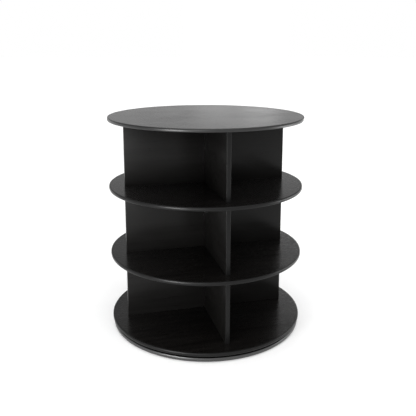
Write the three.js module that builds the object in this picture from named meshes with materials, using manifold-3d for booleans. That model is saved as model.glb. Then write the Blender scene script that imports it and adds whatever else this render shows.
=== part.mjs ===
// Rotating shoe tower: a round base board on foot pads carries a flat ball bearing, and on it turns a tower
// of four discs with a pair of halved, crossed panels in each of its three tiers. Millimetres, +Z up, with
// the origin on the floor under the middle of the tower. The wide panels lie along X.

import * as THREE from "three";
import { mergeVertices, toCreasedNormals } from "three/addons/utils/BufferGeometryUtils.js";
import Module from "manifold-3d";

const wasm = await Module();
wasm.setup();

// Discs
const discRadius = 300;
const discThickness = 10;
const discChamfer = 1;
const baseSetback = 3; // the base board's rim stays this far inside the discs' rim
const baseThickness = 10;

// Tiers
const tierHeight = 200; // clear height between two discs
const panelThickness = 12.5;
const panelSetback = 46; // from the discs' rim to the panels' ends
const lapClearance = 0.3; // round the halving joint of two crossed panels
const seatGap = 0.1; // between two pieces that stand on each other

// Foot pads
const footHeight = 3;
const footRadius = 15;
const footChamfer = 0.8;
const footInset = 40; // from the base board's rim to a pad's centre

// Bearing
const trackRadius = 110;
const ballRadius = 1.6;
const ballClearance = 0.3;
const raceSheet = 1;
const lipThickness = 1;
const lipClearance = 0.6; // from a ball to the lips on both sides of its track
const flangeWidth = 16;
const cageThickness = 0.8;
const cageClearance = 0.4;
const cageOverlap = 1; // the cage's edge past the lips

// Bearing screws
const screwRadius = 1.5;
const screwHeadRadius = 3.2;
const screwHeadHeight = 1.2;
const screwHeadRim = 0.6; // height of its straight side
const screwHeadTopRadius = 1.6;
const screwTip = 2;
const screwClearance = 0.3;
const accessHoleRadius = 8; // in the base board, to reach the upper race's screws

// Connecting bolts and cam locks
const boardCover = 2.5; // wood left under a blind hole in a disc
const boltThreadRadius = 3;
const boltShaftRadius = 2.5;
const boltNeckRadius = 1.5;
const boltNeckLength = 5.5;
const boltHeadLength = 3;
const boltEndDistance = 70; // from a wide panel's end
const boreClearance = 0.3; // round every bolt and dowel
const boreEndGap = 0.5; // past the end of every bolt, dowel and screw
const camSetback = 24; // from a panel's edge to the cam locks' centres
const camRadius = 6;
const camClearance = 0.3;
const camPocketCover = 3; // wood left under a cam lock's pocket
const camSlotWidth = 1.4; // of the cross recess in its face
const camSlotLength = 7;
const camSlotDepth = 1.8;

// Dowels
const dowelRadius = 3;
const dowelReach = 12; // into a cross panel's edge
const dowelChamfer = 1;
const dowelEndDistance = 70; // from a cross panel's end

// Past a surface that a cut goes through
const overrun = 2;

// Counts
const discSides = 72;
const bearingSides = 40;
const footSides = 24;
const camSides = 12;
const pinSides = 10;
const ballSides = 8;
const ballRings = 6;
const footCount = 4;
const ballCount = 6;
const screwCount = 4;
const tierNames = ["lower", "middle", "upper"];
const discNames = ["bottom_shelf", "lower_shelf", "upper_shelf", "top_board"];

// Sizes that follow from the driving ones
const baseRadius = discRadius - baseSetback;
const panelHalfLength = discRadius - panelSetback;
const panelHeight = tierHeight - 2 * seatGap;
const tierPitch = tierHeight + discThickness;
const trackDepth = 2 * (ballRadius + ballClearance);
const bearingHeight = trackDepth + 2 * (raceSheet + seatGap);
const lipHeight = (trackDepth - cageThickness) / 2 - cageClearance;
const trackHalfWidth = ballRadius + lipClearance + lipThickness;
const lowerScrewCircle = trackRadius - trackHalfWidth - flangeWidth / 2;
const upperScrewCircle = trackRadius + trackHalfWidth + flangeWidth / 2;
const baseLevel = footHeight;
const bearingLevel = baseLevel + baseThickness;
const towerLevel = bearingLevel + bearingHeight;
const boltX = panelHalfLength - boltEndDistance;
const dowelY = panelHalfLength - dowelEndDistance;
const boltBite = discThickness - boardCover;
const lowerScrewBite = baseThickness - boardCover;
const upperScrewBite = discThickness - boardCover;
const boltHeadRadius = boltShaftRadius; // no thicker, so that it goes in through the panel's bore
const camPocketFloor = camPocketCover - panelThickness / 2;
const quarterTurn = Math.PI / 2;
const eighthTurn = Math.PI / 4;
const creaseAngle = 0.7; // faces that meet at less than this are shaded as one surface

// Finishes
const blackBoard = new THREE.MeshStandardMaterial({ color: 0x1b1b1c, roughness: 0.42, metalness: 0 });
const blackPanel = new THREE.MeshStandardMaterial({ color: 0x171718, roughness: 0.5, metalness: 0 });
const zincSteel = new THREE.MeshStandardMaterial({ color: 0xb4b6b8, roughness: 0.35, metalness: 0.9 });
const ballSteel = new THREE.MeshStandardMaterial({ color: 0xd8dadc, roughness: 0.12, metalness: 1 });
const castZinc = new THREE.MeshStandardMaterial({ color: 0x9c9ea0, roughness: 0.45, metalness: 0.8 });
const cagePlastic = new THREE.MeshStandardMaterial({ color: 0xe4e2da, roughness: 0.55, metalness: 0 });
const beech = new THREE.MeshStandardMaterial({ color: 0xcfa878, roughness: 0.7, metalness: 0 });
const footRubber = new THREE.MeshStandardMaterial({ color: 0x202020, roughness: 0.9, metalness: 0 });

// A solid from a closed geometry
function solid(geometry) {
  geometry.deleteAttribute("normal");
  geometry.deleteAttribute("uv");
  const merged = mergeVertices(geometry);
  return new wasm.Manifold(
    new wasm.Mesh({
      numProp: 3,
      vertProperties: merged.attributes.position.array,
      triVerts: new Uint32Array(merged.index.array),
    }),
  );
}

// A named mesh from a solid
function meshOf(name, made, material) {
  const { vertProperties, triVerts } = made.getMesh();
  const geometry = new THREE.BufferGeometry();
  geometry.setAttribute("position", new THREE.BufferAttribute(vertProperties, 3));
  geometry.setIndex(new THREE.BufferAttribute(triVerts, 1));
  const mesh = new THREE.Mesh(toCreasedNormals(geometry, creaseAngle), material);
  mesh.name = name;
  return mesh;
}

// A solid turned about Z from a profile of [radius, height] points
function turned(profile, sides) {
  const points = profile.map(([radius, height]) => new THREE.Vector2(radius, height));
  return solid(new THREE.LatheGeometry(points, sides).rotateX(quarterTurn));
}

// A cylinder along Z between two heights
function rod(radius, x, y, bottom, top, sides = pinSides) {
  const geometry = new THREE.CylinderGeometry(radius, radius, top - bottom, sides);
  geometry.rotateX(quarterTurn);
  geometry.translate(x, y, (bottom + top) / 2);
  return solid(geometry);
}

// A box between two corners
function block(low, high) {
  const size = high.map((value, axis) => value - low[axis]);
  const centre = high.map((value, axis) => (value + low[axis]) / 2);
  const geometry = new THREE.BoxGeometry(...size);
  geometry.translate(...centre);
  return solid(geometry);
}

// A board cut in turn by each of the cutters
function cutBy(board, cutters) {
  return cutters.reduce((left, cutter) => left.subtract(cutter), board);
}

// Points spread evenly round the axis, the first at the start angle
function ringOf(count, radius, start) {
  return Array.from({ length: count }, (_, index) => {
    const angle = start + (index * 2 * Math.PI) / count;
    return { x: radius * Math.cos(angle), y: radius * Math.sin(angle) };
  });
}

// A chamfered round board, from its underside at zero up
function roundBoard(radius, thickness) {
  const profile = [
    [0, 0],
    [radius - discChamfer, 0],
    [radius, discChamfer],
    [radius, thickness - discChamfer],
    [radius - discChamfer, thickness],
    [0, thickness],
  ];
  return turned(profile, discSides);
}

// The fastener holes of a disc. They go in from above where a tier stands on it, and from below where one
// hangs under it, so a shelf between two tiers is drilled through.
function fastenerHoles(tierAbove, tierBelow) {
  const bottom = tierBelow ? -overrun : boardCover - boreEndGap;
  const top = tierAbove ? discThickness + overrun : discThickness - boardCover + boreEndGap;
  const boltHoleRadius = boltThreadRadius + boreClearance;
  const dowelHoleRadius = dowelRadius + boreClearance;
  return [-1, 1].flatMap((side) => [
    rod(boltHoleRadius, side * boltX, 0, bottom, top),
    rod(dowelHoleRadius, 0, side * dowelY, bottom, top),
  ]);
}

// Blind pilot holes for a ring of screws, into the face of a board at the given height
function pilotHoles(circle, start, face, depth, direction) {
  const end = face + direction * (depth + boreEndGap);
  const open = face - direction * overrun;
  return ringOf(screwCount, circle, start).map(({ x, y }) =>
    rod(screwRadius + screwClearance, x, y, Math.min(open, end), Math.max(open, end)),
  );
}

// The base board, with a hole that comes under each screw of the upper race in turn
function baseBoard() {
  const [{ x, y }] = ringOf(screwCount, upperScrewCircle, eighthTurn);
  return cutBy(roundBoard(baseRadius, baseThickness), [
    ...pilotHoles(lowerScrewCircle, 0, baseThickness, lowerScrewBite, -1),
    rod(accessHoleRadius, x, y, -overrun, baseThickness + overrun, camSides),
  ]);
}

// A disc of the tower, counted from the bottom shelf up
function disc(level) {
  const tierAbove = level < tierNames.length;
  const tierBelow = level > 0;
  const holes = fastenerHoles(tierAbove, tierBelow);
  if (!tierBelow) holes.push(...pilotHoles(upperScrewCircle, eighthTurn, 0, upperScrewBite, 1));
  return cutBy(roundBoard(discRadius, discThickness), holes);
}

// A foot pad, chamfered where it meets the floor
function footPad() {
  const top = footHeight - seatGap;
  const profile = [
    [0, 0],
    [footRadius - footChamfer, 0],
    [footRadius, footChamfer],
    [footRadius, top],
    [0, top],
  ];
  return turned(profile, footSides);
}

// A pressed race with a screw flange on one side of its ball track. The flange lies at zero and the lips
// rise from it; side is -1 for an inward flange and 1 for an outward one.
function race(side) {
  const flangeEdge = trackRadius + side * (trackHalfWidth + flangeWidth);
  const flangeLip = trackRadius + side * trackHalfWidth;
  const farLip = trackRadius - side * trackHalfWidth;
  const lipTop = raceSheet + lipHeight;
  const profile = [
    [flangeEdge, 0],
    [farLip, 0],
    [farLip, lipTop],
    [farLip + side * lipThickness, lipTop],
    [farLip + side * lipThickness, raceSheet],
    [flangeLip - side * lipThickness, raceSheet],
    [flangeLip - side * lipThickness, lipTop],
    [flangeLip, lipTop],
    [flangeLip, raceSheet],
    [flangeEdge, raceSheet],
    [flangeEdge, 0],
  ];
  const ring = turned(side < 0 ? profile : profile.reverse(), bearingSides);
  const circle = side < 0 ? lowerScrewCircle : upperScrewCircle;
  const start = side < 0 ? 0 : -eighthTurn;
  const holes = ringOf(screwCount, circle, start).map(({ x, y }) =>
    rod(screwRadius + screwClearance, x, y, -overrun, raceSheet + overrun),
  );
  return cutBy(ring, holes);
}

// The ball cage, a flat ring about the track's middle with a hole for each ball
function cage() {
  const inner = trackRadius - trackHalfWidth - cageOverlap;
  const outer = trackRadius + trackHalfWidth + cageOverlap;
  const half = cageThickness / 2;
  const profile = [
    [inner, -half],
    [outer, -half],
    [outer, half],
    [inner, half],
    [inner, -half],
  ];
  const holes = ringOf(ballCount, trackRadius, 0).map(({ x, y }) =>
    rod(ballRadius + ballClearance, x, y, -half - overrun, half + overrun),
  );
  return cutBy(turned(profile, bearingSides), holes);
}

function ball() {
  return solid(new THREE.SphereGeometry(ballRadius, ballSides, ballRings));
}

// A pan-head screw with its head's underside at zero and its point down
function screw(bite) {
  const length = bite + raceSheet + 2 * seatGap;
  const profile = [
    [0, -length],
    [screwRadius, screwTip - length],
    [screwRadius, 0],
    [screwHeadRadius, 0],
    [screwHeadRadius, screwHeadRim],
    [screwHeadTopRadius, screwHeadHeight],
    [0, screwHeadHeight],
  ];
  return turned(profile, pinSides);
}

// The points of a bolt's end that stands in a panel, from the disc's face at the given height
function boltEnd(face) {
  const headTop = face + seatGap + camSetback + boltHeadLength / 2;
  const headBottom = headTop - boltHeadLength;
  const neckBottom = headBottom - boltNeckLength;
  return [
    [boltThreadRadius, face],
    [boltShaftRadius, face],
    [boltShaftRadius, neckBottom],
    [boltNeckRadius, neckBottom],
    [boltNeckRadius, headBottom],
    [boltHeadRadius, headBottom],
    [boltHeadRadius, headTop],
    [0, headTop],
  ];
}

// A bolt that bites into a disc from the face at zero
function singleBolt() {
  return turned([[0, -boltBite], [boltThreadRadius, -boltBite], ...boltEnd(0)], pinSides);
}

// A bolt that goes through a shelf, with its middle at zero
function doubleBolt() {
  const upper = boltEnd(discThickness / 2);
  const lower = upper.map(([radius, height]) => [radius, -height]).reverse();
  return turned([...lower, ...upper], pinSides);
}

// A dowel with chamfered ends between two heights
function dowel(bottom, top) {
  const profile = [
    [0, bottom],
    [dowelRadius - dowelChamfer, bottom],
    [dowelRadius, bottom + dowelChamfer],
    [dowelRadius, top - dowelChamfer],
    [dowelRadius - dowelChamfer, top],
    [0, top],
  ];
  return turned(profile, pinSides);
}

// A locked cam about its bolt's head, with its face flush with the panel's face at +Y. The head came in by
// the mouth at +X, and the narrower slot let the cam turn about the bolt's neck, which points to +Z.
function camLock() {
  const face = panelThickness / 2;
  const back = camPocketFloor + camClearance;
  const behind = back - overrun;
  const past = camRadius + overrun;
  const mouth = boltHeadRadius + camClearance;
  const slot = boltNeckRadius + camClearance;
  const catchLevel = boltHeadLength / 2 + camClearance;
  const geometry = new THREE.CylinderGeometry(camRadius, camRadius, face - back, camSides);
  geometry.translate(0, (face + back) / 2, 0);
  const recess = (halfX, halfZ) =>
    block([-halfX, face - camSlotDepth, -halfZ], [halfX, face + overrun, halfZ]);
  return cutBy(solid(geometry), [
    block([-mouth, behind, -mouth], [mouth, mouth, catchLevel]),
    block([0, behind, -mouth], [past, mouth, mouth]),
    block([-slot, -slot, 0], [past, slot, past]),
    recess(camSlotLength / 2, camSlotWidth / 2),
    recess(camSlotWidth / 2, camSlotLength / 2),
  ]);
}

// A panel along X with its lower edge at zero, halved at its middle from the top or from below
function halvedPanel(fromTop) {
  const board = block(
    [-panelHalfLength, -panelThickness / 2, 0],
    [panelHalfLength, panelThickness / 2, panelHeight],
  );
  const slotHalf = panelThickness / 2 + lapClearance;
  const slotDeep = panelThickness / 2 + overrun;
  const slotLow = fromTop ? panelHeight / 2 - lapClearance : -overrun;
  const slotHigh = fromTop ? panelHeight + overrun : panelHeight / 2 + lapClearance;
  return board.subtract(block([-slotHalf, -slotDeep, slotLow], [slotHalf, slotDeep, slotHigh]));
}

// A hole in a panel's lower or upper edge at the given place along it
function edgeBore(radius, x, depth, atTop) {
  return atTop
    ? rod(radius, x, 0, panelHeight - depth, panelHeight + overrun)
    : rod(radius, x, 0, -overrun, depth);
}

// The four places of a wide panel's cam locks, above its lower edge
function camPlaces() {
  return [false, true].flatMap((atTop) =>
    [-1, 1].map((side) => ({
      x: side * boltX,
      z: atTop ? panelHeight - camSetback : camSetback,
      atTop,
    })),
  );
}

// A wide panel, with a pocket from its +Y face for each cam lock and a bore for each bolt
function widePanel() {
  const pocketTop = panelThickness / 2 + overrun;
  const pocketRadius = camRadius + camClearance;
  const pocketDepth = pocketTop - camPocketFloor;
  const cutters = camPlaces().flatMap(({ x, z, atTop }) => {
    const pocket = new THREE.CylinderGeometry(pocketRadius, pocketRadius, pocketDepth, camSides);
    pocket.translate(x, (pocketTop + camPocketFloor) / 2, z);
    return [solid(pocket), edgeBore(boltShaftRadius + boreClearance, x, camSetback, atTop)];
  });
  return cutBy(halvedPanel(true), cutters);
}

// A cross panel, with a dowel hole in each half of both edges
function crossPanel() {
  const depth = dowelReach + boreEndGap;
  const cutters = [false, true].flatMap((atTop) =>
    [-1, 1].map((side) => edgeBore(dowelRadius + boreClearance, side * dowelY, depth, atTop)),
  );
  return cutBy(halvedPanel(false), cutters);
}

// A mesh at a place, turned over when it works downwards
function place(mesh, x, y, z, turnedOver = false) {
  mesh.position.set(x, y, z);
  if (turnedOver) mesh.rotation.x = Math.PI;
  return mesh;
}

// The fixed base with its pads, the lower race and its screws
function baseGroup() {
  const group = new THREE.Group();
  group.add(place(meshOf("base_board", baseBoard(), blackBoard), 0, 0, baseLevel));
  const pad = footPad();
  ringOf(footCount, baseRadius - footInset, eighthTurn).forEach(({ x, y }, index) => {
    group.add(place(meshOf("foot_pad_" + (index + 1), pad, footRubber), x, y, 0));
  });
  const raceLevel = bearingLevel + seatGap;
  group.add(place(meshOf("lower_bearing_race", race(-1), zincSteel), 0, 0, raceLevel));
  const made = screw(lowerScrewBite);
  ringOf(screwCount, lowerScrewCircle, 0).forEach(({ x, y }, index) => {
    const mesh = meshOf("lower_race_screw_" + (index + 1), made, zincSteel);
    group.add(place(mesh, x, y, raceLevel + raceSheet + seatGap));
  });
  return group;
}

// The ball cage and its balls, about the middle of the ball track
function cageGroup() {
  const group = new THREE.Group();
  group.position.z = bearingLevel + bearingHeight / 2;
  group.add(meshOf("ball_cage", cage(), cagePlastic));
  const made = ball();
  ringOf(ballCount, trackRadius, 0).forEach(({ x, y }, index) => {
    group.add(place(meshOf("bearing_ball_" + (index + 1), made, ballSteel), x, y, 0));
  });
  return group;
}

// The upper race and its screws, hung under the bottom shelf
function upperRaceGroup() {
  const group = new THREE.Group();
  group.add(place(meshOf("upper_bearing_race", race(1), zincSteel), 0, 0, -seatGap, true));
  const made = screw(upperScrewBite);
  ringOf(screwCount, upperScrewCircle, eighthTurn).forEach(({ x, y }, index) => {
    const mesh = meshOf("upper_race_screw_" + (index + 1), made, zincSteel);
    group.add(place(mesh, x, y, -2 * seatGap - raceSheet, true));
  });
  return group;
}

// One disc with the bolts and dowels that it holds
function levelGroup(level) {
  const group = new THREE.Group();
  const name = discNames[level];
  const first = level === 0;
  const last = level === tierNames.length;
  group.add(meshOf(name, disc(level), blackBoard));
  const reach = seatGap + dowelReach;
  const bottom = first ? boardCover : -reach;
  const top = last ? discThickness - boardCover : discThickness + reach;
  const dowelSolid = dowel(bottom, top);
  const boltSolid = first || last ? singleBolt() : doubleBolt();
  const boltLevel = first ? discThickness : last ? 0 : discThickness / 2;
  [-1, 1].forEach((side, index) => {
    const bolt = meshOf(name + "_bolt_" + (index + 1), boltSolid, zincSteel);
    group.add(place(bolt, side * boltX, 0, boltLevel, last));
    const pin = meshOf(name + "_dowel_" + (index + 1), dowelSolid, beech);
    group.add(place(pin, 0, side * dowelY, 0));
  });
  return group;
}

// The crossed panels of one tier and the cam locks in the wide one
function tierGroup(tier) {
  const group = new THREE.Group();
  group.add(meshOf(tier + "_wide_panel", widePanel(), blackPanel));
  const cross = meshOf(tier + "_cross_panel", crossPanel(), blackPanel);
  cross.rotation.z = quarterTurn;
  group.add(cross);
  const made = camLock();
  camPlaces().forEach(({ x, z, atTop }, index) => {
    const lock = meshOf(tier + "_cam_lock_" + (index + 1), made, castZinc);
    lock.position.set(x, 0, z);
    if (!atTop) lock.rotation.y = Math.PI;
    group.add(lock);
  });
  return group;
}

// All that turns: the upper race, the four discs and the three tiers of panels
function towerGroup() {
  const group = new THREE.Group();
  group.position.z = towerLevel;
  group.add(upperRaceGroup());
  discNames.forEach((_, level) => {
    const made = levelGroup(level);
    made.position.z = level * tierPitch;
    group.add(made);
  });
  tierNames.forEach((tier, index) => {
    const made = tierGroup(tier);
    made.position.z = index * tierPitch + discThickness + seatGap;
    group.add(made);
  });
  return group;
}

const shoeTower = new THREE.Group();
shoeTower.add(baseGroup(), cageGroup(), towerGroup());

export default shoeTower;
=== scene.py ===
import math

import bmesh
import bpy
from mathutils import Matrix, Vector


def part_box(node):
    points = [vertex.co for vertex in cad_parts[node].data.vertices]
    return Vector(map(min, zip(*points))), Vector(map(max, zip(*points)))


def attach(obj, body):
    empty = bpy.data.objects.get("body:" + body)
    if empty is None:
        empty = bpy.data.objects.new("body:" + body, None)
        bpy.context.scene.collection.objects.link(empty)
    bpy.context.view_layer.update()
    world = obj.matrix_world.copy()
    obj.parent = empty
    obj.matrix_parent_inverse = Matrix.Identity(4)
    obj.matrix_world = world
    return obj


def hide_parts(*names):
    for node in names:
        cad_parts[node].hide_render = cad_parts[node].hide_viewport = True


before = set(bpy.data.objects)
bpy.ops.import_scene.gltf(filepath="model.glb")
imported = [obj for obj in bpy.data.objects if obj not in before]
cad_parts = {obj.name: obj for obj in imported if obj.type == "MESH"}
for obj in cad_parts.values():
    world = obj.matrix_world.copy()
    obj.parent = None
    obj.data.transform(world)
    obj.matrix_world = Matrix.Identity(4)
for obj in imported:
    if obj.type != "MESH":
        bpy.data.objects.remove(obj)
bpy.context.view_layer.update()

MM = 0.001
FULL_TURN = 2 * math.pi

# Boards
DISC_SIDES = 288
NOSE_DEPTH = 1.8 * MM  # how far a disc's softly rounded rim curves back at its upper and lower edge
SHELF_UNDERCUT = 2.6 * MM  # the same at the bottom shelf's lower edge, above the running gap
BASE_EASE = 1.2 * MM  # and at the base board's upper edge, below it
NOSE_STEPS = 14
RIM_THICKNESS = 4 * MM  # edge band round the discs, with its rounded corners
BAND_THICKNESS = 1 * MM  # edge band on the panels' ends
BAND_ROUND = 0.95 * BAND_THICKNESS
BAND_SEAM = 0.12 * MM  # eased edge of the laminate beside the band
PANEL_ROUND = 0.25 * MM
PANEL_ROUND_STEPS = 2
ROUND_STEPS = 5
LAP_CLEARANCE = 0.12 * MM  # round the halving joint of two crossed panels
ACCESS_HOLE_RADIUS = 8 * MM
ACCESS_HOLE_OVERRUN = 1 * MM
ACCESS_HOLE_FLARE = 1.4 * MM  # from the cutter's ends, which lie past the board's faces by the overrun
WELD = 0.002 * MM  # points of a cut closer than this become one
TOUCH = 0.01 * MM  # edges closer to a plane than this lie on it
OVERRUN = 2 * MM  # past a surface that a cut goes through

# Bores, bolts and dowels, in the model's sizes
BORE_CLEARANCE = 0.3 * MM
BORE_END_GAP = 0.5 * MM
BORE_SIDES = 24
BOLT_THREAD_RADIUS = 3 * MM
BOLT_SHAFT_RADIUS = 2.5 * MM
BOLT_NECK_RADIUS = 1.5 * MM
BOLT_HEAD_LENGTH = 3 * MM
DOWEL_RADIUS = 3 * MM
DISC_BOLTS = 2  # in each of the tower's discs
DISC_DOWELS = 2
HARDWARE_SIDES = 48

# Screws
SCREW_RADIUS = 1.5 * MM
SCREW_PITCH = 1.1 * MM
SCREW_THREAD_DEPTH = 0.35 * MM
THREAD_CREST_SHARE = 0.45  # of the pitch, from a turn's foot to its crest
THREAD_END_SHARE = 0.9  # of the pitch, from a turn's foot to its end
SCREW_POINT_LENGTH = 2 * MM
SCREW_TIP_RADIUS = 0.05 * MM
POINT_SHOULDER_SHARES = 0.75, 0.8  # of the core's radius and of the point's length
SCREW_NECK_SHARE = 0.95  # of the thread's radius, under the head
SCREW_HEAD_RADIUS = 3.2 * MM
SCREW_HEAD_HEIGHT = 1.2 * MM
SCREW_HEAD_RIM = 0.45 * MM  # height of its straight side
SCREW_HEAD_EASE = 0.15 * MM
SCREW_HEAD_FLAT = 0.3 * MM  # radius of the flat on its top
SCREW_DOME_STEPS = 7
SCREW_DOME_POWER = 0.55  # the lower, the fuller the dome
SCREW_RECESS_REACH = 1.7 * MM
SCREW_RECESS_HALF_WIDTH = 0.35 * MM
SCREW_RECESS_DEPTH = 0.8 * MM
SCREW_SIDES = 24
SCREW_TURN = 67  # degrees that the recess of a race's first screw is turned
SCREW_TURN_STEP = 47  # degrees from each of them to the next
RACE_SCREWS = 4

# Cam locks
CAM_RADIUS = 6 * MM
CAM_CLEARANCE = 0.3 * MM
CAM_ROUND = 0.5 * MM
CAM_POCKET_EASE = 0.3 * MM
CAM_RECESS_REACH = 3.6 * MM
CAM_RECESS_HALF_WIDTH = 0.75 * MM
CAM_RECESS_DEPTH = 1.8 * MM
CAM_ARROW_TIP = 5.2 * MM  # from the cam's middle
CAM_ARROW_FOOT = 4.1 * MM
CAM_ARROW_HALF_WIDTH = 0.8 * MM
CAM_ARROW_DEPTH = 0.35 * MM
PANEL_CAMS = 4

# Bearing
BALLS = 24
BALL_CLEARANCE = 0.3 * MM
BALL_SIDES = 24
BALL_RINGS = 14
TRACK_RADIUS = 110 * MM
TRACK_HALF_WIDTH = 3.2 * MM
FLANGE_WIDTH = 16 * MM
LIP_THICKNESS = 1 * MM
RACE_SHEET = 1 * MM
RACE_ROUND = 0.4 * MM
CAGE_ROUND = 0.15 * MM
CORNER_SHARE = 0.4  # a corner is rounded over this share of its shorter side at the most
RING_SIDES = 144

# Foot pads
FOOT_RINGS = (3.4 * MM, 6 * MM), (8.4 * MM, 11 * MM)  # inner and outer radius of the rings on the floor
FOOT_RIM = 12.8 * MM  # inner radius of the outermost ring, which reaches the pad's edge
FOOT_RING_HEIGHT = 0.3 * MM
FOOT_RING_SLOPE = 0.4 * MM
FOOT_ROUND = 0.8 * MM
FOOT_TOP_EASE = 0.3 * MM
FOOT_SIDES = 96
FEET = 4

# Shading
SHARP_ANGLE = 32  # degrees
UPRIGHT_SHARE = 0.9  # an edge is upright where it rises by more than this share of its length

# Faces that count as rubbed edges. On turned pieces the Z part of their normal lies between the two values,
# and on the others the largest part of it is under the second.
WORN_FROM = 0.55
WORN_TO = 0.97

# How deep the surfaces' relief is
PEEL_RELIEF = 0.05 * MM
GRAIN_RELIEF = 0.10 * MM
PORE_RELIEF = 0.05 * MM
LINE_RELIEF = 0.05 * MM
FLAKE_RELIEF = 0.2 * MM
METAL_RELIEF = 0.05 * MM
PLASTIC_RELIEF = 0.08 * MM
FLECK_RELIEF = 0.1 * MM

TIERS = ("lower", "middle", "upper")
SHELVES = ("bottom_shelf", "lower_shelf", "upper_shelf", "top_board")

# Sky, as heights on a unit sphere with their brightness
SKY_LEVELS = (
    (0.0, 1.0), (0.080, 1.0), (0.125, 0.50), (0.25, 0.40), (0.42, 0.32), (0.62, 0.36), (0.80, 1.85),
)

# Strips of light behind the tower: azimuth from +Y towards +X and half width in degrees, and the
# brightness that they add
STRIPS = (15.7, 2.4, 0.55), (19.9, 1.7, 0.95)
STRIP_SOFTNESS = 0.5  # share of the half width over which a strip fades, to both sides of its edge
STRIP_FADE = 0.09, 0.165  # heights between which the strips fade out

# Added brightness of the sky on the photograph's side, the places on Y between which it fades out towards
# the back, and the heights between which it fades in and out
FRONT_GLOW = 3.0
FRONT_REACH = -0.9, -0.1
FRONT_RISE = 0.14, 0.34
FRONT_FADE = 0.65, 0.80

# Softboxes: name, azimuth from -Y towards +X in degrees, distance from the tower's axis, height of the
# centre, width, height, radiance, and spread in degrees
SOFTBOXES = (
    ("left_softbox", -46, 1.6, 0.27, 0.55, 0.46, 32, 60),
    ("front_softbox", -22, 2.5, 0.6, 0.35, 0.8, 5, 60),
    ("right_softbox", 82, 2.0, 0.17, 1.0, 0.30, 12, 80),
    ("back_softbox", 148, 2.2, 0.27, 1.3, 0.46, 5.5, 70),
)

# Floor
FLOOR_RADIUS = 40
FLOOR_SIDES = 128
FLOOR_GLOW = 0.15  # the floor's own light, which softens the tower's shadow

# Camera, fitted to the outlines of the discs in the photograph. Angles in degrees, lens and sensor in
# millimetres.
CAMERA_DISTANCE = 1.734  # from the tower's axis
CAMERA_HEIGHT = 0.868
CAMERA_AZIMUTH = -14.31  # from -Y towards +X
CAMERA_PITCH = 11.24  # below the horizon
CAMERA_LENS = 49.0
CAMERA_SENSOR = 36
CAMERA_SHIFT = 0.0056, -0.12  # of the view, to the right and up, in widths of the picture


# Shader nodes

def node(tree, kind, inputs=None, **settings):
    """A new node with its inputs linked or set."""
    made = tree.nodes.new("ShaderNode" + kind)
    for key, value in settings.items():
        setattr(made, key, value)
    for key, value in (inputs or {}).items():
        if isinstance(value, bpy.types.NodeSocket):
            tree.links.new(value, made.inputs[key])
        else:
            made.inputs[key].default_value = value
    return made


def new_material(name):
    """A material with nothing but a Principled shader."""
    material = bpy.data.materials.new(name)
    material.use_nodes = True
    tree = material.node_tree
    tree.nodes.clear()
    shader = node(tree, "BsdfPrincipled")
    output = node(tree, "OutputMaterial")
    tree.links.new(shader.outputs["BSDF"], output.inputs["Surface"])
    return material, tree, shader


def noise(tree, scales, scale, detail, roughness=0.5, distortion=0.0):
    """Noise that stays on its place in the part, with a scale for each axis and one for all."""
    coordinates = node(tree, "TexCoord")
    mapping = node(tree, "Mapping", {"Vector": coordinates.outputs["Object"], "Scale": scales})
    inputs = {
        "Vector": mapping.outputs["Vector"], "Scale": scale, "Detail": detail,
        "Roughness": roughness, "Distortion": distortion,
    }
    return node(tree, "TexNoise", inputs).outputs["Fac"]


def ranged(tree, value, low, high, to_low, to_high):
    """A value mapped from one range to another, and held at its ends."""
    inputs = {"Value": value, "From Min": low, "From Max": high, "To Min": to_low, "To Max": to_high}
    return node(tree, "MapRange", inputs).outputs["Result"]


def ramp(tree, value, stops):
    """A colour looked up between stops, each a position and a colour."""
    made = node(tree, "ValToRGB", {"Fac": value})
    elements = made.color_ramp.elements
    while len(elements) < len(stops):
        elements.new(0.5)
    for element, (position, color) in zip(elements, stops):
        element.position = position
        element.color = (*color, 1.0)
    return made.outputs["Color"]


def mixed(tree, factor, first, second):
    """A mix of two colours."""
    made = node(tree, "Mix", data_type="RGBA")
    sockets = made.inputs[0], made.inputs[6], made.inputs[7]  # the factor and the two colours
    for socket, value in zip(sockets, (factor, first, second)):
        if isinstance(value, bpy.types.NodeSocket):
            tree.links.new(value, socket)
        else:
            socket.default_value = value if isinstance(value, float) else (*value, 1.0)
    return made.outputs[2]


def math_of(tree, operation, first, second):
    """The result of a math node."""
    return node(tree, "Math", {0: first, 1: second}, operation=operation).outputs["Value"]


def bumped(tree, height, strength, distance, normal=None):
    """Relief, added to another relief when its normal is given."""
    inputs = {"Height": height, "Strength": strength, "Distance": distance}
    if normal is not None:
        inputs["Normal"] = normal
    return node(tree, "Bump", inputs).outputs["Normal"]


def wear_of(tree):
    """The share of wear that the mesh carries on its rounded edges, broken up by noise."""
    attribute = node(tree, "Attribute", attribute_name="wear")
    patches = noise(tree, (1, 1, 1), 60, detail=6)
    broken = ranged(tree, patches, 0.42, 0.68, 0.25, 1.0)
    return math_of(tree, "MULTIPLY", attribute.outputs["Fac"], broken)


def set_shader(tree, shader, values):
    """Links a shader's inputs, or sets them directly where the value is constant."""
    for key, value in values.items():
        if isinstance(value, bpy.types.NodeSocket):
            tree.links.new(value, shader.inputs[key])
        else:
            shader.inputs[key].default_value = value


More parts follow.
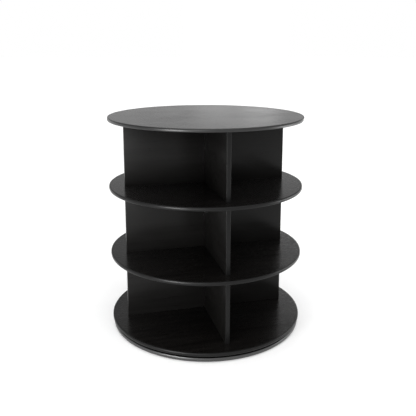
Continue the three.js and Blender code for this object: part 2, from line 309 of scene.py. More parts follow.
def laminate(name, along, tones, roughness, ior, relief):
    """Black wood-grain laminate. Its figure, its pores and their shine all run along one axis, X or Y."""
    material, tree, shader = new_material(name)
    stretched = (0.05, 1, 1) if along == "X" else (1, 0.05, 1)
    pore_tone, rubbed_tone = (0.0015, 0.0014, 0.0013), (0.09, 0.088, 0.085)
    dark_at, light_at = 0.36, 0.62
    figure = noise(tree, stretched, 55, detail=6, roughness=0.6, distortion=1.4)
    streaks = noise(tree, stretched, 420, detail=4, roughness=0.6)
    pores = noise(tree, stretched, 1300, detail=3, distortion=0.3)
    smudges = noise(tree, (1, 1, 1), 9, detail=4)
    open_pores = ranged(tree, pores, 0.56, 0.68, 0.0, 1.0)
    broad = math_of(tree, "MULTIPLY", figure, 0.7)
    narrow = math_of(tree, "MULTIPLY", streaks, 0.3)
    tone = math_of(tree, "ADD", broad, narrow)
    grain = ramp(tree, tone, ((dark_at, tones[0]), (light_at, tones[1])))
    base = mixed(tree, math_of(tree, "MULTIPLY", open_pores, 0.7), grain, pore_tone)
    color = mixed(tree, math_of(tree, "MULTIPLY", wear_of(tree), 0.35), base, rubbed_tone)
    sheen = ranged(tree, tone, dark_at, light_at, *roughness)
    dulled = math_of(tree, "ADD", sheen, ranged(tree, smudges, 0.35, 0.7, -0.01, 0.02))
    rough = math_of(tree, "ADD", dulled, math_of(tree, "MULTIPLY", open_pores, 0.12))
    orange_peel = noise(tree, (1, 1, 1), 420, detail=3)
    first = bumped(tree, orange_peel, 0.02, PEEL_RELIEF)
    second = bumped(tree, tone, relief, GRAIN_RELIEF, first)
    normal = bumped(tree, open_pores, -0.25, PORE_RELIEF, second)
    set_shader(tree, shader, {"Base Color": color, "Roughness": rough, "Normal": normal, "IOR": ior})
    return material


def edge_band(name, ior):
    """Black plastic edge strip: fine lines along it, and paler where its corners are rubbed."""
    material, tree, shader = new_material(name)
    lines = noise(tree, (6, 6, 900), 1, detail=6, roughness=0.6)
    scuffs = noise(tree, (1, 1, 1), 140, detail=6, roughness=0.6)
    base = ramp(tree, lines, ((0.3, (0.003, 0.003, 0.003)), (0.7, (0.006, 0.006, 0.006))))
    color = mixed(tree, math_of(tree, "MULTIPLY", wear_of(tree), 0.15), base, (0.06, 0.06, 0.06))
    rough = ranged(tree, scuffs, 0.3, 0.7, 0.30, 0.38)
    normal = bumped(tree, lines, 0.15, LINE_RELIEF)
    set_shader(tree, shader, {"Base Color": color, "Roughness": rough, "Normal": normal, "IOR": ior})
    return material


def board_core():
    """Particle board, seen where a hole is drilled."""
    material, tree, shader = new_material("board_core")
    coordinates = node(tree, "TexCoord")
    cells = node(tree, "TexVoronoi", {"Vector": coordinates.outputs["Object"], "Scale": 900.0})
    flakes = noise(tree, (1, 1, 1), 700, detail=5)
    tones = (0.3, (0.20, 0.12, 0.06)), (0.55, (0.42, 0.28, 0.15)), (0.75, (0.58, 0.44, 0.27))
    chips = ramp(tree, flakes, tones)
    glue = ranged(tree, cells.outputs["Distance"], 0.35, 0.75, 0.0, 0.6)
    color = mixed(tree, glue, chips, (0.12, 0.07, 0.035))
    normal = bumped(tree, flakes, 0.6, FLAKE_RELIEF)
    set_shader(tree, shader, {"Base Color": color, "Roughness": 0.9, "Normal": normal})
    return material


def metal(name, dark, light, roughness, scale, grit):
    """Plated or cast metal with a cloudy tone and a fine surface."""
    material, tree, shader = new_material(name)
    clouds = noise(tree, (1, 1, 1), scale, detail=6, roughness=0.6)
    fine = noise(tree, (1, 1, 1), scale * 9, detail=4)
    color = ramp(tree, clouds, ((0.3, dark), (0.7, light)))
    rough = ranged(tree, clouds, 0.3, 0.7, *roughness)
    set_shader(tree, shader, {
        "Base Color": color, "Roughness": rough, "Metallic": 1.0,
        "Normal": bumped(tree, fine, grit, METAL_RELIEF),
    })
    return material


def plastic(name, dark, light, roughness, scale, grit):
    """Moulded plastic or rubber with a cloudy tone and a fine surface."""
    material, tree, shader = new_material(name)
    clouds = noise(tree, (1, 1, 1), scale, detail=5)
    fine = noise(tree, (1, 1, 1), scale * 14, detail=3)
    color = ramp(tree, clouds, ((0.3, dark), (0.7, light)))
    rough = ranged(tree, clouds, 0.3, 0.7, *roughness)
    set_shader(tree, shader, {
        "Base Color": color, "Roughness": rough, "Normal": bumped(tree, fine, grit, PLASTIC_RELIEF),
    })
    return material


def beech():
    """Bare beech with short dark flecks along the dowel."""
    material, tree, shader = new_material("beech")
    flecks = noise(tree, (1, 1, 0.12), 1500, detail=4, roughness=0.6)
    tone = noise(tree, (1, 1, 0.3), 120, detail=3)
    wood = ramp(tree, tone, ((0.3, (0.50, 0.31, 0.16)), (0.7, (0.66, 0.45, 0.26))))
    color = mixed(tree, ranged(tree, flecks, 0.6, 0.75, 0.0, 0.6), wood, (0.26, 0.14, 0.07))
    set_shader(tree, shader, {
        "Base Color": color, "Roughness": 0.7, "Normal": bumped(tree, flecks, 0.3, FLECK_RELIEF),
    })
    return material


GLOSS_TONES = (0.0022, 0.0020, 0.0019), (0.0078, 0.0070, 0.0065)
GLOSS_ROUGHNESS = 0.20, 0.25
MATT_TONES = (0.0042, 0.0039, 0.0038), (0.0064, 0.0061, 0.0058)
MATT_ROUGHNESS = 0.275, 0.305
DISC_LAMINATE = laminate("disc_laminate", "X", GLOSS_TONES, GLOSS_ROUGHNESS, ior=1.40, relief=0.06)
WIDE_LAMINATE = laminate("wide_panel_laminate", "X", MATT_TONES, MATT_ROUGHNESS, ior=1.245, relief=0.025)
CROSS_LAMINATE = laminate("cross_panel_laminate", "Y", MATT_TONES, MATT_ROUGHNESS, ior=1.22, relief=0.025)
EDGE_BAND = edge_band("edge_band", ior=1.26)
BASE_BAND = edge_band("base_edge_band", ior=1.78)
TOP_BAND = edge_band("top_edge_band", ior=1.5)
BOARD_CORE = board_core()
ZINC_PLATE = metal(
    "zinc_plate", (0.38, 0.39, 0.40), (0.58, 0.59, 0.60), roughness=(0.28, 0.42), scale=90, grit=0.08,
)
CAST_ZINC = metal(
    "cast_zinc", (0.30, 0.30, 0.31), (0.46, 0.46, 0.47), roughness=(0.38, 0.55), scale=260, grit=0.3,
)
BALL_STEEL = metal(
    "ball_steel", (0.62, 0.62, 0.63), (0.72, 0.72, 0.73), roughness=(0.06, 0.12), scale=300, grit=0.02,
)
NYLON = plastic(
    "nylon", (0.70, 0.68, 0.61), (0.80, 0.78, 0.72), roughness=(0.44, 0.56), scale=120, grit=0.1,
)
RUBBER = plastic(
    "rubber", (0.010, 0.010, 0.010), (0.022, 0.022, 0.021), roughness=(0.76, 0.88), scale=200, grit=0.5,
)
BEECH = beech()


# Meshes

def new_object(name, mesh, material):
    """An object at the origin. Without a material it keeps those of its mesh."""
    piece = bpy.data.objects.new(name, mesh)
    bpy.context.scene.collection.objects.link(piece)
    if material is not None:
        mesh.materials.append(material)
    return piece


def mesh_from(name, bm):
    """A mesh with its faces turned outwards."""
    bmesh.ops.recalc_face_normals(bm, faces=bm.faces)
    mesh = bpy.data.meshes.new(name)
    bm.to_mesh(mesh)
    bm.free()
    return mesh


def ring_of(count, radius):
    """Points spread evenly round the axis, the first towards +X."""
    angles = [FULL_TURN * index / count for index in range(count)]
    return [(radius * math.cos(angle), radius * math.sin(angle)) for angle in angles]


def turned(name, profile, sides, material, closed=False):
    """A solid turned about Z from (radius, height) points. An open profile's two ends get flat caps, and a
    closed one makes a ring."""
    bm = bmesh.new()
    rings = []
    for radius, height in profile:
        rings.append([bm.verts.new((x, y, height)) for x, y in ring_of(sides, radius)])
    pairs = list(zip(rings, rings[1:]))
    if closed:
        pairs.append((rings[-1], rings[0]))
    else:
        bm.faces.new(rings[0])
        bm.faces.new(rings[-1])
    for first, second in pairs:
        for step in range(sides):
            after = (step + 1) % sides
            bm.faces.new((first[step], first[after], second[after], second[step]))
    return new_object(name, mesh_from(name, bm), material)


def arc(centre, radius, start, end, steps=ROUND_STEPS):
    """Points of an arc in a profile, its angles in quarter turns from the outward direction."""
    points = []
    for step in range(steps + 1):
        angle = (start + (end - start) * step / steps) * math.pi / 2
        points.append((centre[0] + radius * math.cos(angle), centre[1] + radius * math.sin(angle)))
    return points


def block(name, low, high, material):
    """A box between two corners."""
    bm = bmesh.new()
    bmesh.ops.create_cube(bm, size=1)
    size = Vector(high) - Vector(low)
    middle = (Vector(high) + Vector(low)) / 2
    bmesh.ops.scale(bm, vec=size, verts=bm.verts)
    bmesh.ops.translate(bm, vec=middle, verts=bm.verts)
    return new_object(name, mesh_from(name, bm), material)


def rounded(piece, width, steps, chosen=lambda edge: True):
    """Rounds the chosen edges of a piece, or all of them."""
    bm = bmesh.new()
    bm.from_mesh(piece.data)
    edges = [edge for edge in bm.edges if chosen(edge)]
    bmesh.ops.bevel(
        bm, geom=edges, offset=width, offset_type="OFFSET", segments=steps, profile=0.5, affect="EDGES",
        clamp_overlap=True,
    )
    bm.to_mesh(piece.data)
    bm.free()
    return piece


def upright(edge):
    """Whether an edge runs up and down."""
    first, second = edge.verts
    return abs(first.co.z - second.co.z) > UPRIGHT_SHARE * edge.calc_length()


def hole(radius, place, bottom, top, flare=0.0, sides=BORE_SIDES, material=BOARD_CORE):
    """A cutter for an upright hole, whose wall shows the material. It flares out towards both of its ends
    when flare is set."""
    profile = [(radius, bottom), (radius, top)]
    if flare:
        profile = [
            (radius + flare, bottom), (radius, bottom + flare),
            (radius, top - flare), (radius + flare, top),
        ]
    cutter = turned("cutter", profile, sides, material)
    # Turned by half a side, which keeps its corners clear of the corners of a ring that it cuts
    half_side = Matrix.Rotation(math.pi / sides, 4, "Z")
    cutter.data.transform(Matrix.Translation((place[0], place[1], 0)) @ half_side)
    return cutter


def cut(piece, cutters):
    """Cuts every cutter out of a piece, welds what the cuts left too close together, and deletes the
    cutters. Cut faces take the cutter's material."""
    for cutter in cutters:
        made = piece.modifiers.new("cut", "BOOLEAN")
        made.operation = "DIFFERENCE"
        made.solver = "EXACT"
        made.material_mode = "TRANSFER"
        made.object = cutter
    bpy.context.view_layer.update()
    graph = bpy.context.evaluated_depsgraph_get()
    result = bpy.data.meshes.new_from_object(piece.evaluated_get(graph))
    piece.modifiers.clear()
    bm = bmesh.new()
    bm.from_mesh(result)
    bmesh.ops.remove_doubles(bm, verts=bm.verts, dist=WELD)
    bmesh.ops.dissolve_degenerate(bm, edges=bm.edges, dist=WELD)
    bm.to_mesh(result)
    bm.free()
    old = piece.data
    piece.data = result
    bpy.data.meshes.remove(old)
    for cutter in cutters:
        mesh = cutter.data
        bpy.data.objects.remove(cutter)
        bpy.data.meshes.remove(mesh)
    return piece


def finished(piece, body, nodes=(), around_axis=False):
    """Smooths a piece up to its sharp edges, marks its rounded edges as worn, and lets it ride on a body in
    place of the model's nodes that it replaces."""
    mesh = piece.data
    mesh.shade_smooth()
    mesh.set_sharp_from_angle(angle=math.radians(SHARP_ANGLE))
    worn = mesh.attributes.new("wear", "FLOAT", "CORNER")
    for face in mesh.polygons:
        parts = [abs(part) for part in face.normal]
        tilted = WORN_FROM < parts[2] < WORN_TO if around_axis else max(parts) < WORN_TO
        for loop in face.loop_indices:
            worn.data[loop].value = 1.0 if tilted else 0.0
    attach(piece, body)
    if nodes:
        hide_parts(*nodes)


def numbered(prefix, count):
    """The names of the model's nodes in a numbered set."""
    return [f"{prefix}_{index}" for index in range(1, count + 1)]


def middle_of(name):
    """The middle of a model node's box."""
    low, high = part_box(name)
    return (low + high) / 2


# Discs

def bore(fastener, radius, low, high):
    """A cutter for a fastener's bore in a board between two heights. It runs past the board's face where
    the fastener leaves the board, and a small gap past the fastener's end inside it."""
    bottom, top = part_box(fastener)
    lowest = low - OVERRUN if bottom.z < low else bottom.z - BORE_END_GAP
    highest = high + OVERRUN if top.z > high else top.z + BORE_END_GAP
    return hole(radius + BORE_CLEARANCE, middle_of(fastener), lowest, highest)


def fastener_holes(name, low, high):
    """Cutters for a disc's bolts and dowels."""
    bolts = [bore(bolt, BOLT_THREAD_RADIUS, low, high) for bolt in numbered(name + "_bolt", DISC_BOLTS)]
    dowels = [bore(dowel, DOWEL_RADIUS, low, high) for dowel in numbered(name + "_dowel", DISC_DOWELS)]
    return bolts + dowels


def pilot_holes(prefix, low, high):
    """Cutters for the screws of a race, in the board that they are screwed to."""
    return [bore(screw, SCREW_RADIUS, low, high) for screw in numbered(prefix, RACE_SCREWS)]


def round_board(name, body, cutters):
    """A laminated disc and its edge band, in place of a disc of the model."""
    low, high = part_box(name)
    radius = high.x
    inner = radius - RIM_THICKNESS
    profile = [
        (inner - BAND_SEAM, low.z), (inner, low.z + BAND_SEAM),
        (inner, high.z - BAND_SEAM), (inner - BAND_SEAM, high.z),
    ]
    board = turned(name + "_board", profile, DISC_SIDES, DISC_LAMINATE)
    cut(board, cutters)
    finished(board, body, (name,), around_axis=True)
    half = (high.z - low.z) / 2
    below = SHELF_UNDERCUT if name == "bottom_shelf" else NOSE_DEPTH
    above = BASE_EASE if name == "base_board" else NOSE_DEPTH
    # The rim's outer face, which curves back towards both of its edges
    nose = [
        (radius + (across - 1) * (above if up > 0 else below), low.z + half + up * half)
        for across, up in arc((0, 0), 1, -1, 1, NOSE_STEPS)
    ]
    rim = [
        (inner, low.z + BAND_SEAM), (inner + BAND_SEAM, low.z), *nose,
        (inner + BAND_SEAM, high.z), (inner, high.z - BAND_SEAM),
    ]
    strip = {"base_board": BASE_BAND, "top_board": TOP_BAND}.get(name, EDGE_BAND)
    band = turned(name + "_edge_band", rim, DISC_SIDES, strip, closed=True)
    finished(band, body, around_axis=True)


def discs():
    """The four discs of the tower, and the base board with a hole for reaching the upper race's screws."""
    for name in SHELVES:
        low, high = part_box(name)
        cutters = fastener_holes(name, low.z, high.z)
        if name == "bottom_shelf":
            cutters += pilot_holes("upper_race_screw", low.z, high.z)
        round_board(name, "tower", cutters)
    low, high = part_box("base_board")
    cutters = pilot_holes("lower_race_screw", low.z, high.z)
    place = middle_of("upper_race_screw_1")
    cutters.append(hole(
        ACCESS_HOLE_RADIUS, place, low.z - ACCESS_HOLE_OVERRUN, high.z + ACCESS_HOLE_OVERRUN,
        flare=ACCESS_HOLE_FLARE, sides=HARDWARE_SIDES,
    ))
    round_board("base_board", "base", cutters)


# Panels

def outline_prism(name, points, thickness, material):
    """A prism from an outline in X and Z, as thick as given along Y."""
    bm = bmesh.new()
    front = [bm.verts.new((x, -thickness / 2, z)) for x, z in points]
    back = [bm.verts.new((x, thickness / 2, z)) for x, z in points]
    bm.faces.new(front)
    bm.faces.new(back)
    for index in range(len(points)):
        after = (index + 1) % len(points)
        bm.faces.new((front[index], front[after], back[after], back[index]))
    return new_object(name, mesh_from(name, bm), material)


def halved(name, half_length, thickness, bottom, top, slot_at_top, material):
    """A panel along X with a slot at its middle, open above or below."""
    slot = thickness / 2 + LAP_CLEARANCE
    middle = (bottom + top) / 2
    right = [(half_length, bottom), (half_length, top)]
    if slot_at_top:
        depth = middle - LAP_CLEARANCE
        notch = [(slot, top), (slot, depth), (-slot, depth), (-slot, top)]
        points = [(-half_length, bottom), *right, *notch, (-half_length, top)]
    else:
        depth = middle + LAP_CLEARANCE
        notch = [(-slot, bottom), (-slot, depth), (slot, depth), (slot, bottom)]
        points = [(-half_length, bottom), *notch, *right, (-half_length, top)]
    return rounded(outline_prism(name, points, thickness, material), PANEL_ROUND, PANEL_ROUND_STEPS)


def end_bands(name, half_length, thickness, bottom, top, turn):
    """The edge bands on both ends of a panel, rounded at their outer corners. They are made along X and
    turned with the panel."""
    for side, word in ((-1, "first"), (1, "second")):
        inner, outer = half_length - BAND_THICKNESS, half_length
        xs = sorted((side * inner, side * outer))
        low = (xs[0], -thickness / 2, bottom)
        high = (xs[1], thickness / 2, top)
        band = block(f"{name}_{word}_end_band", low, high, EDGE_BAND)

        def outer_corner(edge, limit=side * outer):
            return upright(edge) and all(abs(vert.co.x - limit) < TOUCH for vert in edge.verts)

        rounded(band, BAND_ROUND, ROUND_STEPS, outer_corner)
        band.data.transform(turn)
        finished(band, "tower")


def pocket(place, front, depth):
    """A cutter for a cam lock's pocket, from a panel's +Y face."""
    radius = CAM_RADIUS + CAM_CLEARANCE
    mouth = radius + CAM_POCKET_EASE
    profile = [(radius, -depth), (radius, -CAM_POCKET_EASE), (mouth, 0), (mouth, OVERRUN)]
    cutter = turned("cutter", profile, HARDWARE_SIDES, BOARD_CORE)
    upright_to_y = Matrix.Rotation(-math.pi / 2, 4, "X")
    cutter.data.transform(Matrix.Translation((place.x, front, place.z)) @ upright_to_y)
    return cutter


def wide_panel(tier):
    """A panel along X, slotted from above, with pockets for its cam locks and bores for their bolts."""
    name = tier + "_wide_panel"
    low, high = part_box(name)
    thickness = high.y - low.y
    half = high.x - BAND_THICKNESS
    panel = halved(name + "_board", half, thickness, low.z, high.z, True, WIDE_LAMINATE)
    cutters = []
    for cam in numbered(tier + "_cam_lock", PANEL_CAMS):
        place = middle_of(cam)
        depth = high.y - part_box(cam)[0].y + CAM_CLEARANCE
        cutters.append(pocket(place, high.y, depth))
        below = place.z < (low.z + high.z) / 2
        ends = (low.z - OVERRUN, place.z) if below else (place.z, high.z + OVERRUN)
        cutters.append(hole(BOLT_SHAFT_RADIUS + BORE_CLEARANCE, (place.x, 0), *ends))
    cut(panel, cutters)
    finished(panel, "tower", (name,))
    end_bands(name, high.x, thickness, low.z, high.z, Matrix.Identity(4))


def cross_panel(tier, levels):
    """A panel along Y, slotted from below, with bores for the dowels of the discs at its two levels."""
    name = tier + "_cross_panel"
    low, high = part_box(name)
    thickness = high.x - low.x
    turn = Matrix.Rotation(math.pi / 2, 4, "Z")
    half = high.y - BAND_THICKNESS
    panel = halved(name + "_board", half, thickness, low.z, high.z, False, CROSS_LAMINATE)
    panel.data.transform(turn)
    dowels = [dowel for level in levels for dowel in numbered(level + "_dowel", DISC_DOWELS)]
    cut(panel, [bore(dowel, DOWEL_RADIUS, low.z, high.z) for dowel in dowels])
    finished(panel, "tower", (name,))
    end_bands(name, high.y, thickness, low.z, high.z, turn)


# Cam locks

def cam_mesh():
    """A cam lock with its face at zero towards +Y, slots for a bolt that comes from +Z, and in its face a
    cross recess and an arrow towards the bolt."""
    low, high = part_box("lower_cam_lock_1")
    depth = high.y - low.y
    axis = -high.y  # of the bolt, which lies in the middle of the panel
    profile = [(CAM_RADIUS, -depth), *arc((CAM_RADIUS - CAM_ROUND, -CAM_ROUND), CAM_ROUND, 0, 1)]
    cam = turned("cam", profile, HARDWARE_SIDES, CAST_ZINC)
    cam.data.transform(Matrix.Rotation(-math.pi / 2, 4, "X"))
    mouth = BOLT_SHAFT_RADIUS + CAM_CLEARANCE
    slot = BOLT_NECK_RADIUS + CAM_CLEARANCE
    catch = BOLT_HEAD_LENGTH / 2 + CAM_CLEARANCE
    past = CAM_RADIUS + OVERRUN
    behind = -depth - OVERRUN
    arm, groove, recess = CAM_RECESS_REACH, CAM_RECESS_HALF_WIDTH, CAM_RECESS_DEPTH
    cutters = [
        block("cutter", (-mouth, behind, -mouth), (mouth, axis + mouth, catch), CAST_ZINC),
        block("cutter", (0, behind, -mouth), (past, axis + mouth, mouth), CAST_ZINC),
        block("cutter", (-slot, axis - slot, 0), (past, axis + slot, past), CAST_ZINC),
        block("cutter", (-arm, -recess, -groove), (arm, OVERRUN, groove), CAST_ZINC),
        block("cutter", (-groove, -recess, -arm), (groove, OVERRUN, arm), CAST_ZINC),
    ]
    wing, foot = CAM_ARROW_HALF_WIDTH, CAM_ARROW_FOOT
    outline = [(-wing, foot), (wing, foot), (0, CAM_ARROW_TIP)]
    arrow = outline_prism("cutter", outline, CAM_ARROW_DEPTH + OVERRUN, CAST_ZINC)
    arrow.data.transform(Matrix.Translation((0, (OVERRUN - CAM_ARROW_DEPTH) / 2, 0)))
    cutters.append(arrow)
    return cut(cam, cutters)


def cam_locks():
    """The cam locks, each with its bolt's side towards the disc that it holds."""
    pattern = cam_mesh()
    for tier in TIERS:
        panel_middle = middle_of(tier + "_wide_panel").z
        for name in numbered(tier + "_cam_lock", PANEL_CAMS):
            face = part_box(name)[1].y
            place = middle_of(name)
            lock = new_object(name + "_casting", pattern.data.copy(), None)
            turn = Matrix.Identity(4) if place.z > panel_middle else Matrix.Rotation(math.pi, 4, "Y")
            lock.data.transform(Matrix.Translation((place.x, face, place.z)) @ turn)
            finished(lock, "tower", (name,))
    bpy.data.objects.remove(pattern)


# Bearing

def rounded_profile(points, radius):
    """A closed profile with every corner rounded by the radius."""
    made = []
    count = len(points)
    for index, point in enumerate(points):
        here = Vector(point)
        before = Vector(points[index - 1]) - here
        after = Vector(points[(index + 1) % count]) - here
        reach = min(radius, CORNER_SHARE * before.length, CORNER_SHARE * after.length)
        start = here + before.normalized() * reach
        end = here + after.normalized() * reach
        for step in range(ROUND_STEPS):
            share = step / (ROUND_STEPS - 1)
            made.append(tuple(
                start * (1 - share) ** 2 + here * (2 * share * (1 - share)) + end * share ** 2
            ))
    return made


def race(name, body, prefix, face_up):
    """A pressed race: a flange for its screws, and a ball track between two lips."""
    low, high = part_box(name)
    side = -1 if face_up else 1
    up = 1 if face_up else -1
    flange_lip = TRACK_RADIUS + side * TRACK_HALF_WIDTH
    far_lip = TRACK_RADIUS - side * TRACK_HALF_WIDTH
    edge = flange_lip + side * FLANGE_WIDTH
    lip = side * LIP_THICKNESS
    sheet = RACE_SHEET * up
    top = (high.z - low.z) * up
    points = [
        (edge, 0), (far_lip, 0), (far_lip, top), (far_lip + lip, top), (far_lip + lip, sheet),
        (flange_lip - lip, sheet), (flange_lip - lip, top), (flange_lip, top), (flange_lip, sheet),
        (edge, sheet),
    ]
    sole = low.z if face_up else high.z
    profile = [(radius, height + sole) for radius, height in rounded_profile(points, RACE_ROUND)]
    ring = turned(name + "_pressing", profile, RING_SIDES, ZINC_PLATE, closed=True)
    ends = low.z - OVERRUN, high.z + OVERRUN
    places = [middle_of(screw) for screw in numbered(prefix, RACE_SCREWS)]
    cut(ring, [hole(SCREW_RADIUS + BORE_CLEARANCE, place, *ends, material=ZINC_PLATE) for place in places])
    finished(ring, body, (name,), around_axis=True)


def ball_radius():
    """The model's ball radius."""
    low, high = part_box("bearing_ball_1")
    return (high.x - low.x) / 2


def ball_cage():
    """A flat ring about the middle of the track, with a hole for each ball."""
    low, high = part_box("ball_cage")
    outer = high.x
    inner = 2 * TRACK_RADIUS - outer
    points = [(inner, low.z), (outer, low.z), (outer, high.z), (inner, high.z)]
    ring = turned("ball_cage_ring", rounded_profile(points, CAGE_ROUND), RING_SIDES, NYLON, closed=True)
    radius = ball_radius() + BALL_CLEARANCE
    ends = low.z - OVERRUN, high.z + OVERRUN
    cut(ring, [hole(radius, place, *ends, material=NYLON) for place in ring_of(BALLS, TRACK_RADIUS)])
    finished(ring, "cage", ("ball_cage",), around_axis=True)


def balls():
    """Every ball of the bearing. Those that the model has are replaced by the ones in their places."""
    height = middle_of("ball_cage").z
    radius = ball_radius()
    modelled = [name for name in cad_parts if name.startswith("bearing_ball_")]
    every = BALLS // len(modelled)
    for index, (x, y) in enumerate(ring_of(BALLS, TRACK_RADIUS)):
        replaced = (f"bearing_ball_{index // every + 1}",) if index % every == 0 else ()
        bm = bmesh.new()
        bmesh.ops.create_uvsphere(bm, u_segments=BALL_SIDES, v_segments=BALL_RINGS, radius=radius)
        bmesh.ops.translate(bm, vec=(x, y, height), verts=bm.verts)
        ball = new_object(f"polished_ball_{index + 1}", mesh_from("ball", bm), BALL_STEEL)
        finished(ball, "cage", replaced)


# Screws

def screw_mesh(length):
    """A pan-head screw with its head's underside at zero and its point down. Its thread is made of ridges
    round the shank."""
    core = SCREW_RADIUS - SCREW_THREAD_DEPTH
    narrowing, rise = POINT_SHOULDER_SHARES
    profile = [(SCREW_TIP_RADIUS, -length), (narrowing * core, rise * SCREW_POINT_LENGTH - length)]
    for turn in range(int((length - SCREW_POINT_LENGTH) / SCREW_PITCH)):
        foot = SCREW_POINT_LENGTH - length + turn * SCREW_PITCH
        crest = foot + THREAD_CREST_SHARE * SCREW_PITCH
        profile += [(core, foot), (SCREW_RADIUS, crest), (core, foot + THREAD_END_SHARE * SCREW_PITCH)]
    profile += [
        (SCREW_NECK_SHARE * SCREW_RADIUS, 0), (SCREW_HEAD_RADIUS - SCREW_HEAD_EASE, 0),
        (SCREW_HEAD_RADIUS, SCREW_HEAD_EASE),
    ]
    for step in range(SCREW_DOME_STEPS):
        angle = math.pi / 2 * step / SCREW_DOME_STEPS
        profile.append((
            SCREW_HEAD_RADIUS * math.cos(angle) ** SCREW_DOME_POWER,
            SCREW_HEAD_RIM + (SCREW_HEAD_HEIGHT - SCREW_HEAD_RIM) * math.sin(angle),
        ))
    profile.append((SCREW_HEAD_FLAT, SCREW_HEAD_HEIGHT))
    screw = turned("screw", profile, SCREW_SIDES, ZINC_PLATE)
    arm, groove = SCREW_RECESS_REACH, SCREW_RECESS_HALF_WIDTH
    floor_height, past = SCREW_HEAD_HEIGHT - SCREW_RECESS_DEPTH, SCREW_HEAD_HEIGHT + OVERRUN
    cutters = [
        block("cutter", (-arm, -groove, floor_height), (arm, groove, past), ZINC_PLATE),
        block("cutter", (-groove, -arm, floor_height), (groove, arm, past), ZINC_PLATE),
    ]
    return cut(screw, cutters)


def screws(prefix, body, point_up):
    """The four screws of a race."""
    low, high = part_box(prefix + "_1")
    pattern = screw_mesh(high.z - low.z - SCREW_HEAD_HEIGHT)
    for index, name in enumerate(numbered(prefix, RACE_SCREWS)):
        low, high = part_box(name)
        place = middle_of(name)
        screw = new_object(name + "_threaded", pattern.data.copy(), None)
        level = low.z + SCREW_HEAD_HEIGHT if point_up else high.z - SCREW_HEAD_HEIGHT
        turn = Matrix.Rotation(math.pi, 4, "X") if point_up else Matrix.Identity(4)
        spin = Matrix.Rotation(math.radians(SCREW_TURN + SCREW_TURN_STEP * index), 4, "Z")
        screw.data.transform(Matrix.Translation((place.x, place.y, level)) @ turn @ spin)
        finished(screw, body, (name,), around_axis=True)
    bpy.data.objects.remove(pattern)


# Foot pads

def foot_pads():
    """Rubber pads with rings on their undersides."""
    for name in numbered("foot_pad", FEET):
        low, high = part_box(name)
        radius = (high.x - low.x) / 2
        raised = low.z + FOOT_RING_HEIGHT
        profile = []
        for inner, outer in FOOT_RINGS:
            profile += [(inner - FOOT_RING_SLOPE, raised), (inner, low.z)]
            profile += [(outer, low.z), (outer + FOOT_RING_SLOPE, raised)]
        profile += [(FOOT_RIM - FOOT_RING_SLOPE, raised), (FOOT_RIM, low.z)]
        profile += arc((radius - FOOT_ROUND, low.z + FOOT_ROUND), FOOT_ROUND, -1, 0)
        profile += [(radius, high.z - FOOT_TOP_EASE), (radius - FOOT_TOP_EASE, high.z)]
        pad = turned(name + "_rubber", profile, FOOT_SIDES, RUBBER)
        place = middle_of(name)
        pad.data.transform(Matrix.Translation((place.x, place.y, 0)))
        finished(pad, "base", (name,), around_axis=True)


def kept_nodes():
    """Finishes of the hidden fasteners, which stay as they are in the model."""
    for name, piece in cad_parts.items():
        for kind, material in (("_bolt_", ZINC_PLATE), ("_dowel_", BEECH)):
            if kind in name:
                for place in piece.material_slots:
                    place.material = material


# Stage

def floor():
    """A pale matt floor with a faint light of its own."""
    material, tree, shader = new_material("pale_floor")
    speckle = noise(tree, (1, 1, 1), 8, detail=5)
    color = ramp(tree, speckle, ((0.3, (0.80, 0.80, 0.80)), (0.7, (0.82, 0.82, 0.82))))
    set_shader(tree, shader, {
        "Base Color": color, "Roughness": 0.9, "Specular IOR Level": 0.1,
        "Emission Color": (1.0, 1.0, 1.0, 1.0), "Emission Strength": FLOOR_GLOW,
    })
    bm = bmesh.new()
    bmesh.ops.create_circle(bm, cap_ends=True, segments=FLOOR_SIDES, radius=FLOOR_RADIUS)
    ground = new_object("floor", mesh_from("floor", bm), material)


def place_at(azimuth, distance, height):
    """A place from its azimuth from -Y towards +X, its distance from the tower's axis and its height."""
    return (distance * math.sin(azimuth), -distance * math.cos(azimuth), height)


def area_light(name, azimuth, distance, centre, width, height, radiance, spread):
    """A soft panel of light that faces the tower's axis and that the camera doesn't see. Its energy is what
    gives the radiance at its size and spread."""
    turn = math.radians(azimuth)
    light = bpy.data.lights.new(name, "AREA")
    light.shape = "RECTANGLE"
    light.size, light.size_y = width, height
    light.spread = math.radians(spread)
    half = light.spread / 2
    light.energy = 4 * radiance * width * height * (math.tan(half) - half) / math.tan(half)
    lamp = bpy.data.objects.new(name, light)
    lamp.location = place_at(turn, distance, centre)
    lamp.visible_camera = False
    lamp.rotation_euler = (math.pi / 2, 0, turn)
    bpy.context.scene.collection.objects.link(lamp)


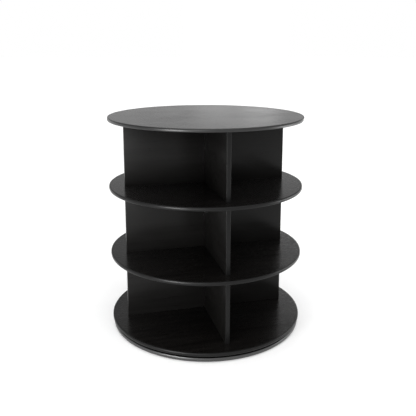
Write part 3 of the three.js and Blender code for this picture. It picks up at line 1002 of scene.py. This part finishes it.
def world_light():
    """A pale studio: white at the horizon, grey above it, and bright overhead. Two soft upright strips of
    light stand far behind the tower. On the photograph's side the sky is brighter above its low part."""
    world = bpy.data.worlds.new("studio")
    bpy.context.scene.world = world
    world.use_nodes = True
    tree = world.node_tree
    tree.nodes.clear()
    coordinates = node(tree, "TexCoord")
    parts = node(tree, "SeparateXYZ", {"Vector": coordinates.outputs["Generated"]})
    x, y, height = parts.outputs
    sky = ramp(tree, height, [(place, (level, level, level)) for place, level in SKY_LEVELS])
    azimuth = node(tree, "Math", {0: x, 1: y}, operation="ARCTAN2").outputs["Value"]
    glow = 0.0
    for middle, half, strength in STRIPS:
        away = math_of(tree, "ABSOLUTE", math_of(tree, "SUBTRACT", azimuth, math.radians(middle)), 0.0)
        inner, outer = half * (1 - STRIP_SOFTNESS), half * (1 + STRIP_SOFTNESS)
        strip = ranged(tree, away, math.radians(inner), math.radians(outer), strength, 0.0)
        glow = math_of(tree, "ADD", glow, strip)
    strips = math_of(tree, "MULTIPLY", glow, ranged(tree, height, *STRIP_FADE, 1.0, 0.0))
    front = ranged(tree, y, *FRONT_REACH, FRONT_GLOW, 0.0)
    raised = math_of(tree, "MULTIPLY", front, ranged(tree, height, *FRONT_RISE, 0.0, 1.0))
    eased = math_of(tree, "MULTIPLY", raised, ranged(tree, height, *FRONT_FADE, 1.0, 0.0))
    added = math_of(tree, "ADD", strips, eased)
    background = node(tree, "Background", {"Color": sky, "Strength": math_of(tree, "ADD", added, 1.0)})
    output = node(tree, "OutputWorld")
    tree.links.new(background.outputs["Background"], output.inputs["Surface"])


def camera():
    """The photograph's viewpoint."""
    azimuth, pitch = math.radians(CAMERA_AZIMUTH), math.radians(CAMERA_PITCH)
    data = bpy.data.cameras.new("camera")
    data.sensor_width = CAMERA_SENSOR
    data.lens = CAMERA_LENS
    data.shift_x, data.shift_y = CAMERA_SHIFT
    made = bpy.data.objects.new("camera", data)
    made.location = place_at(azimuth, CAMERA_DISTANCE, CAMERA_HEIGHT)
    made.rotation_euler = (math.pi / 2 - pitch, 0, azimuth)
    bpy.context.scene.collection.objects.link(made)
    bpy.context.scene.camera = made


discs()
for tier, levels in zip(TIERS, zip(SHELVES, SHELVES[1:])):
    wide_panel(tier)
    cross_panel(tier, levels)
cam_locks()
race("lower_bearing_race", "base", "lower_race_screw", True)
race("upper_bearing_race", "tower", "upper_race_screw", False)
ball_cage()
balls()
screws("lower_race_screw", "base", False)
screws("upper_race_screw", "tower", True)
foot_pads()
kept_nodes()
floor()
world_light()
for softbox in SOFTBOXES:
    area_light(*softbox)
camera()
bpy.context.scene.view_settings.view_transform = "Standard"
